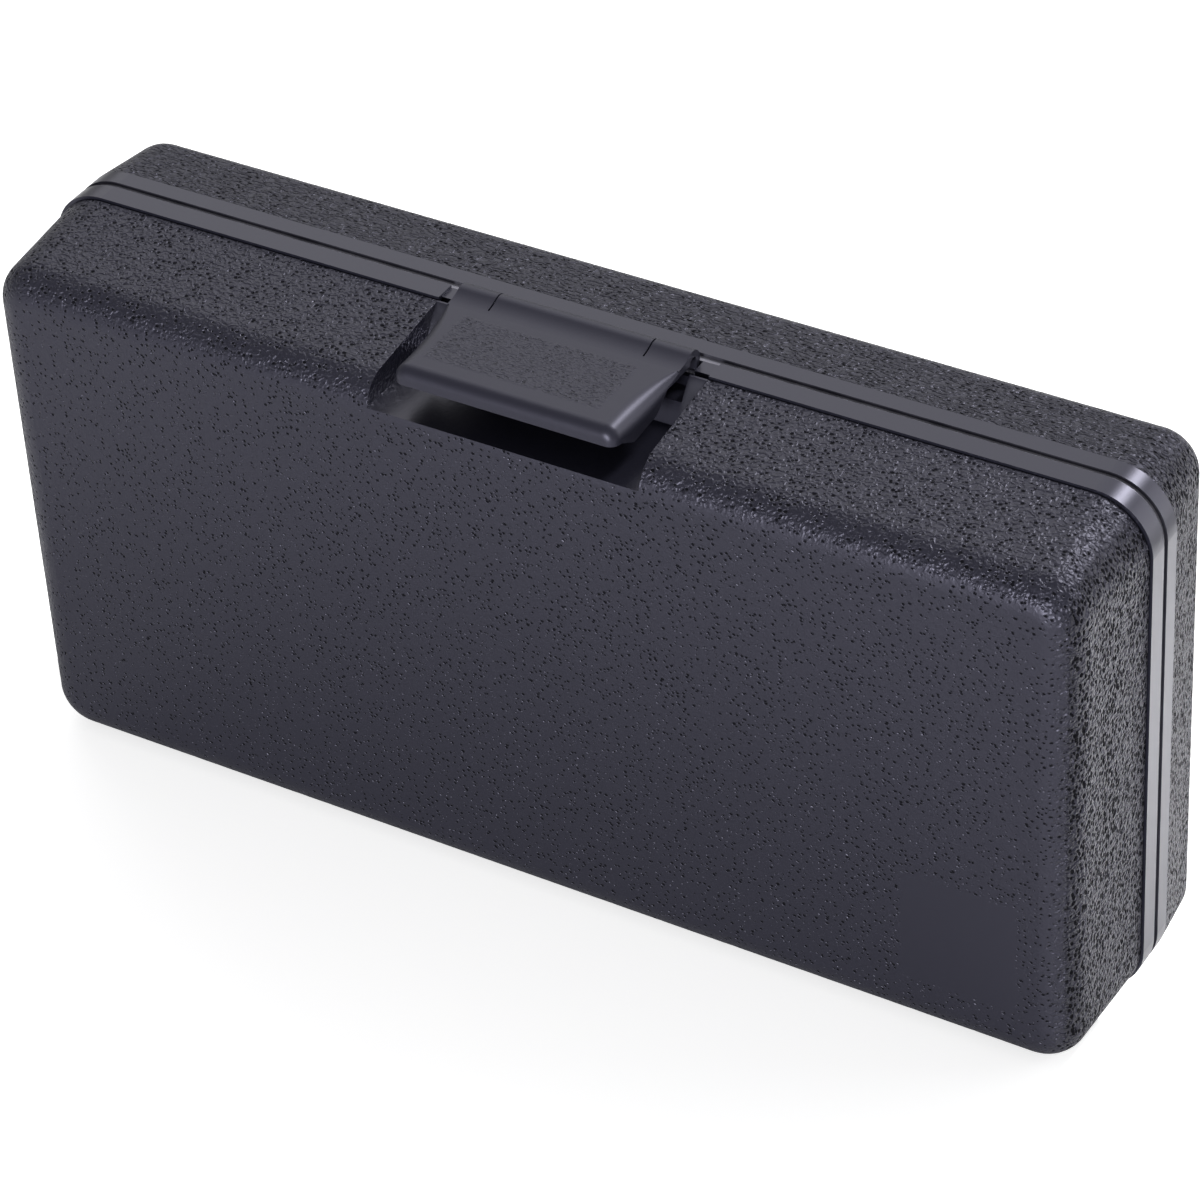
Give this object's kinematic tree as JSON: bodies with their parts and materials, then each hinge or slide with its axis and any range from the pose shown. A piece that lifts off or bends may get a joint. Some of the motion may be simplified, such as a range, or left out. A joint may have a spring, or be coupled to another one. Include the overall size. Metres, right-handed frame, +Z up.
{
  "type": "tool case",
  "caption": "Small blow-moulded plastic tool case with a deep base, a shallow hinged lid and a snap latch set in a finger recess.",
  "frame": {"origin": "middle of the bottom, the hinge side that the case stands on", "axes": "+X along the length to the right, +Y from the front of the deep base to the back of the lid, +Z up from the hinges to the latch"},
  "size_m": [0.24, 0.0558, 0.1201],
  "materials": {
    "case_plastic": "grained black-blue HDPE",
    "latch_plastic": "smooth satin black-blue HDPE with a grained pad",
    "pin_steel": "drawn steel wire"
  },
  "bodies": {
    "base": {"base": "case_plastic", "hinge_pin_left": "pin_steel", "hinge_pin_right": "pin_steel"},
    "lid": {"lid": "case_plastic", "latch_pin": "pin_steel"},
    "latch": {"latch": "latch_plastic"}
  },
  "joints": [
    {"name": "lid_hinge", "type": "hinge", "parent": "base", "child": "lid", "pos_m": [0, 0.00345, 0.0032], "axis": [-1, 0, 0], "range_deg": [0, 110]},
    {"name": "latch_hinge", "type": "hinge", "parent": "lid", "child": "latch", "pos_m": [0, 0.00065, 0.1175], "axis": [-1, 0, 0], "range_deg": [0, 110]}
  ]
}
